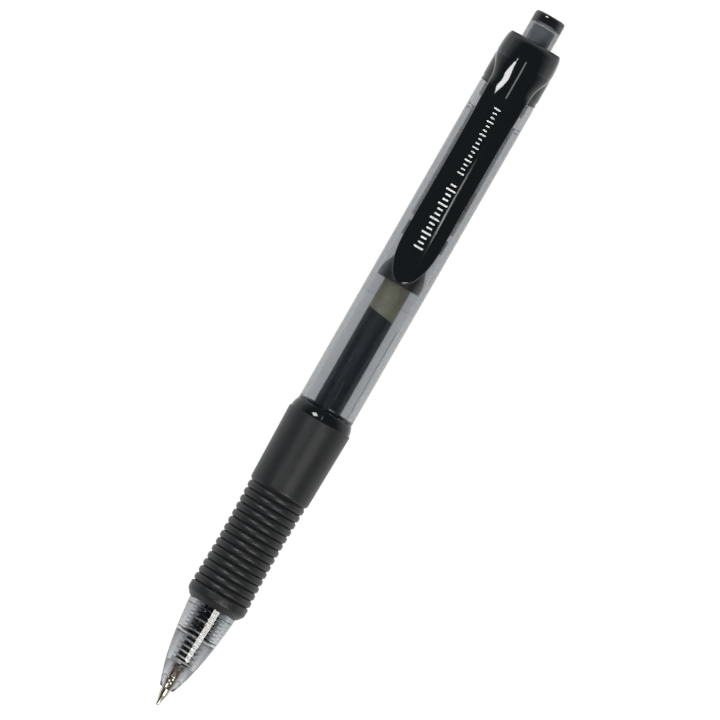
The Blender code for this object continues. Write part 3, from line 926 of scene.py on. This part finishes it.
def thrust_tube():
    """Plunger tube with teeth and keys in front, its stem in the button painted paler as painted
    light.
    """
    stem_front, stem_radius, stem_bore, bore = 125.4, 2.22, 1.4, 1.9
    outline = [
        (THRUST_FRONT, bore, 0.0),
        (THRUST_FRONT, ROTOR_RADIUS, 0.0),
        (stem_front, ROTOR_RADIUS, 0.2),
        (stem_front, stem_radius, 0.05),
        (THRUST_BACK, stem_radius, 0.5),
        (THRUST_BACK, stem_bore),
        (stem_front - 0.4, stem_bore),
        (stem_front - 1.4, bore),
    ]
    teeth = toothed(THRUST_FRONT, TOOTH_DEPTH)
    piece = turned("thrust_keyed", rounded(outline), bend=teeth)
    add_fins(piece, KEY_FRONT, KEY_BACK, FIN_COUNT - 1)
    finish_piece(piece, MECHANISM, ["thrust_tube"], "plunger")
    # The stem is the same dark moulding as the tube; its paler second material is painted light.
    piece.data.materials.append(STEM_PAINTED_LIGHTER)
    for face in piece.data.polygons:
        if face.center.x > TIP_X + (stem_front + 0.1) * MM:
            face.material_index = 1


def cam_guide():
    """Clear sleeve with four slots for the fins and keys, and a flange behind the barrel's step."""
    bore = 3.45
    outline = [
        (GUIDE_FRONT, bore, 0.08),
        (GUIDE_FRONT, GUIDE_BORE - FIT, 0.08),
        (GUIDE_FLANGE + 0.1, GUIDE_BORE - FIT, 0.02),
        (GUIDE_FLANGE + 0.1, CAP_BORE - FIT),
        (GUIDE_BACK, CAP_BORE - FIT),
        (GUIDE_BACK, bore),
    ]
    piece = turned("cam_guide_clear", rounded(outline, 0.08))
    for k in range(FIN_COUNT):
        turn = FULL_TURN * k / FIN_COUNT
        across = (-SLOT_WIDTH / 2, SLOT_WIDTH / 2)
        out = (bore - 1, CAP_BORE + 1)
        slot = block("slot", GUIDE_FRONT - 1, SLOT_BACK, across, out, turn)
        combine(piece, slot, "DIFFERENCE")
    finish_piece(piece, GUIDE_SMOKE, ["cam_guide"], "body")


def cam_rotor():
    """Rotor with a bell-shaped foot over the refill's end, four fins and a toothed crown."""
    crown, socket = 100.0, REFILL_RADIUS + 0.06
    outline = [
        (ROTOR_FRONT, socket),
        (ROTOR_FRONT, 4.32, 0.12),
        (88.9, 4.3, 0.6),
        (89.9, 3.95, 0.6),
        (91.2, 3.4, 0.5),
        (92.0, ROTOR_RADIUS, 0.4),
        (crown, ROTOR_RADIUS, 0.0),
        (crown, 1.7, 0.0),
        (ROTOR_BACK, 1.7, 0.4),
        (ROTOR_BACK, 0),
        (PLUG_BACK + 0.2, 0),
        (PLUG_BACK + 0.2, socket),
    ]
    teeth = toothed(crown, -TOOTH_DEPTH)
    piece = turned("rotor_finned", rounded(outline, 0.06), bend=teeth)
    add_fins(piece, FIN_FRONT, FIN_BACK, FIN_COUNT)
    finish_piece(piece, MECHANISM, ["cam_rotor"], "rotor")


# ---------------------------------------------------------------- spring and refill


def return_spring():
    """Round wire in twelve open turns between closed end turns."""
    wire, coil, closed_turns, open_turns, closed_pitch = 0.19, 2.05, 1.5, 12, 0.42
    first, last = SPRING_FRONT + wire, SPRING_BACK - wire
    open_pitch = (last - first - 2 * closed_turns * closed_pitch) / open_turns
    steps, sides = 28, 12
    turns = open_turns + 2 * closed_turns
    sections = []
    for turn in np.arange(round(turns * steps) + 1) / steps:
        station = first + closed_pitch * min(turn, closed_turns)
        station += open_pitch * min(max(turn - closed_turns, 0), open_turns)
        station += closed_pitch * max(turn - closed_turns - open_turns, 0)
        section = []
        for swing in np.arange(sides) * FULL_TURN / sides:
            radius = coil + wire * math.cos(swing)
            angle = FULL_TURN * turn
            along = station + wire * math.sin(swing)
            section.append((along, radius * math.sin(angle), radius * math.cos(angle)))
        sections.append(section)
    piece = lofted("spring_coil", sections, sharp=math.radians(60))
    finish_piece(piece, SPRING, ["return_spring"])
    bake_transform(piece)


def slanted(station, radius, angles):
    """Tips the face between the ink and the grease."""
    if abs(station - INK_LEVEL) > 0.1:
        return station, radius
    return station + INK_SLANT * radius * np.sin(angles), radius


def refill_tube():
    """Clear tube, open at both ends."""
    tube = [
        (TUBE_FRONT, TUBE_BORE),
        (TUBE_FRONT, REFILL_RADIUS),
        (TUBE_BACK, REFILL_RADIUS),
        (TUBE_BACK, TUBE_BORE),
    ]
    piece = turned("refill_clear", rounded(tube, 0.05), 96)
    finish_piece(piece, CLEAR, ["refill_tube"], "refill")


def ink_and_grease():
    """The ink, and the grease that follows it. Both reach just into the tube's wall, as if wet."""
    wet = TUBE_BORE + 0.02
    fill = [(INK_FRONT, 0), (INK_FRONT, wet), (INK_LEVEL - 0.03, wet), (INK_LEVEL - 0.03, 0)]
    piece = turned("ink_fill", fill, 96, slanted)
    finish_piece(piece, INK, ["ink_column"], "refill")

    level = INK_LEVEL + 0.03
    fill = [(level, 0), (level, wet), (GREASE_BACK, wet), (GREASE_BACK - 0.8, 1.2)]
    piece = turned("grease_fill", fill + [(GREASE_BACK - 0.9, 0)], 96, slanted)
    finish_piece(piece, GREASE, ["grease_follower"], "refill")


def tail_plug():
    """Plug with a vent, which the rotor pushes on."""
    plug = [
        (PLUG_FRONT, 0.5),
        (PLUG_FRONT, 2.3, 0.3),
        (TUBE_BACK + 0.1, TUBE_PLUG_RADIUS, 0.02),
        (TUBE_BACK + 0.1, 2.67),
        (PLUG_BACK, 2.67, 0.15),
        (PLUG_BACK, 0.5),
    ]
    piece = turned("plug_vented", rounded(plug, 0.08), 64)
    finish_piece(piece, MECHANISM, ["tail_plug"], "refill")


def tip_holder():
    """Stepped holder, whose shoulder seats the spring."""
    shoulder, neck, channel = 22.9, 1.5, 0.6
    holder = [
        (NECK_FRONT, SHANK_RADIUS + FIT, 0.02),
        (NECK_FRONT, neck - 0.2, 0.05),
        (NECK_FRONT + 0.2, neck, 0.08),
        (shoulder, neck, 0.05),
        (shoulder, REFILL_RADIUS, 0.12),
        (TUBE_FRONT - 0.1, REFILL_RADIUS, 0.05),
        (TUBE_FRONT - 0.1, TUBE_PLUG_RADIUS, 0.02),
        (HOLDER_BACK, TUBE_PLUG_RADIUS, 0.15),
        (HOLDER_BACK, channel),
        (POINT_BACK + 0.1, channel),
        (POINT_BACK + 0.1, SHANK_RADIUS + FIT, 0.02),
    ]
    piece = turned("holder_stepped", rounded(holder), 96)
    finish_piece(piece, HOLDER, ["tip_holder"], "refill")


def tip_point():
    """Turned metal point with a shank in the holder and a socket for the ball."""
    point = [
        (POINT_FRONT, BALL_SEAT, 0.0),
        (POINT_FRONT, BALL_SEAT + 0.02, 0.01),
        (0.9, 0.43, 0.1),
        (1.5, 0.6, 0.3),
        (2.3, 0.83, 0.5),
        (3.3, 0.9, 0.2),
        (4.6, 0.93, 0.05),
        (4.85, SHANK_RADIUS, 0.05),
        (HOLDER_FRONT, SHANK_RADIUS, 0.03),
        (HOLDER_FRONT + 0.1, 1.25, 0.08),
        (NECK_FRONT - 0.02, 1.25, 0.05),
        (NECK_FRONT - 0.02, SHANK_RADIUS, 0.03),
        (POINT_BACK, SHANK_RADIUS, 0.1),
        (POINT_BACK, 0.3),
        (1.2, 0.12),
        (0.8, BALL_SEAT),
    ]
    piece = turned("point_turned", rounded(point, 0.05), 96)
    finish_piece(piece, METAL, ["tip_socket"], "refill")


def writing_ball():
    """Ball of the CAD ball's size, its poles on the pen's axis."""
    low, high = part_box("writing_ball")
    radius = (high.x - low.x) / 2 / MM
    swings = np.linspace(0, math.pi, 20)[1:-1]
    arc = [(radius - radius * math.cos(swing), radius * math.sin(swing)) for swing in swings]
    outline = [(0, 0), *arc, (2 * radius, 0)]
    piece = turned("ball_polished", outline, 32)
    finish_piece(piece, CARBIDE, ["writing_ball"], "ball")


# ---------------------------------------------------------------- studio


def studio_floor():
    """White table that glows a little, so the pen's shadow stays faint."""
    half = 6.0
    mesh = bpy.data.meshes.new("studio_floor")
    corners = [(-half, -half, 0), (half, -half, 0), (half, half, 0), (-half, half, 0)]
    mesh.from_pydata(corners, [], [(0, 1, 2, 3)])
    floor = bpy.data.objects.new("studio_floor", mesh)
    bpy.context.scene.collection.objects.link(floor)
    material = bpy.data.materials.new("floor_white")
    material.use_nodes = True
    shader = material.node_tree.nodes["Principled BSDF"]
    shader.inputs["Base Color"].default_value = (0.2, 0.2, 0.2, 1)
    shader.inputs["Roughness"].default_value = 0.9
    shader.inputs["Specular IOR Level"].default_value = 0.0
    shader.inputs["Emission Color"].default_value = (1, 1, 1, 1)
    shader.inputs["Emission Strength"].default_value = 0.88
    mesh.materials.append(material)


def studio_world():
    """Pale at the horizon and darker overhead, so that black gloss faces stay black."""
    world = bpy.data.worlds.new("studio")
    bpy.context.scene.world = world
    world.use_nodes = True
    nodes, links = world.node_tree.nodes, world.node_tree.links
    background = nodes["Background"]
    background.inputs["Strength"].default_value = 1.0
    place = nodes.new("ShaderNodeTexCoord")
    split = nodes.new("ShaderNodeSeparateXYZ")
    links.new(place.outputs["Generated"], split.inputs["Vector"])
    fade = nodes.new("ShaderNodeValToRGB")
    fade.color_ramp.elements[0].position = 0.08
    fade.color_ramp.elements[0].color = (0.72, 0.73, 0.77, 1)
    fade.color_ramp.elements[1].position = 0.5
    fade.color_ramp.elements[1].color = (0.025, 0.025, 0.028, 1)
    links.new(split.outputs["Z"], fade.inputs["Fac"])
    links.new(fade.outputs["Color"], background.inputs["Color"])


def softbox(name, along, across, size, brightness, colour=(1, 1, 1), turn=0, far=1.0):
    """A light in a direction from overhead, given in degrees along and across the pen.

    Along is positive towards the button, and across towards the pen's left. The size is in
    degrees too, and the brightness is what a mirror would show.
    """
    place = Vector((math.tan(math.radians(along)), math.tan(math.radians(across)), 1))
    place.normalize()
    data = bpy.data.lights.new(name, "AREA")
    data.shape = "RECTANGLE"
    data.size, data.size_y = (2 * far * math.tan(math.radians(angle) / 2) for angle in size)
    data.energy = brightness * math.pi * data.size * data.size_y
    data.color = colour
    light = bpy.data.objects.new(name, data)
    bpy.context.scene.collection.objects.link(light)
    side = Vector((1, 0, 0)) - place * place.x
    side.normalize()
    facing = Matrix((side, place.cross(side), place)).transposed()
    spin = Matrix.Rotation(math.radians(turn), 3, place)
    light.matrix_world = Matrix.Translation(place * far) @ (spin @ facing).to_4x4()
    light.visible_camera = False


def studio_lights():
    """Lamps placed so that the gloss shows the highlights that the photo's pen has."""
    softbox("back_left_key", 20.6, 27, (17, 16.5), 24, turn=45)
    softbox("front_right_key", -24, -26, (15, 29), 15, (1.0, 0.99, 0.96))
    softbox("back_strip", 19.8, -2, (24, 2.5), 6)
    softbox("front_strip", -2.6, -18, (0.8, 6), 11, turn=-8, far=8.0)


def camera():
    """Straight overhead through a long lens, with the pen leaning to the right.

    The view's middle lies a little along and across from the pen's.
    """
    lean = math.radians(29.83)
    width, lens, sensor = 129.6 * MM, 500.0, 36.0
    along, across = 0.65 * MM, -0.82 * MM
    data = bpy.data.cameras.new("photo_camera")
    data.lens, data.sensor_width = lens, sensor
    data.clip_start, data.clip_end = 0.1, 20.0
    eye = bpy.data.objects.new("photo_camera", data)
    bpy.context.scene.collection.objects.link(eye)
    right = Vector((math.sin(lean), -math.cos(lean), 0))
    up = Vector((math.cos(lean), math.sin(lean), 0))
    turn = Matrix((right, up, Vector((0, 0, 1)))).transposed()
    middle = (cad_low + cad_high) / 2
    aim = Vector((middle.x + along, middle.y + across, AXIS_Z))
    eye.matrix_world = Matrix.Translation(aim + Vector((0, 0, width * lens / sensor))) @ turn.to_4x4()
    bpy.context.scene.camera = eye


nose_cone()
barrel()
grip_sleeve()
grip_collar()
top_cap()
clip()
clip_print()
push_button()
thrust_tube()
cam_guide()
cam_rotor()
return_spring()
refill_tube()
ink_and_grease()
tail_plug()
tip_holder()
tip_point()
writing_ball()
studio_floor()
studio_world()
studio_lights()
camera()
bpy.context.scene.view_settings.view_transform = "Standard"
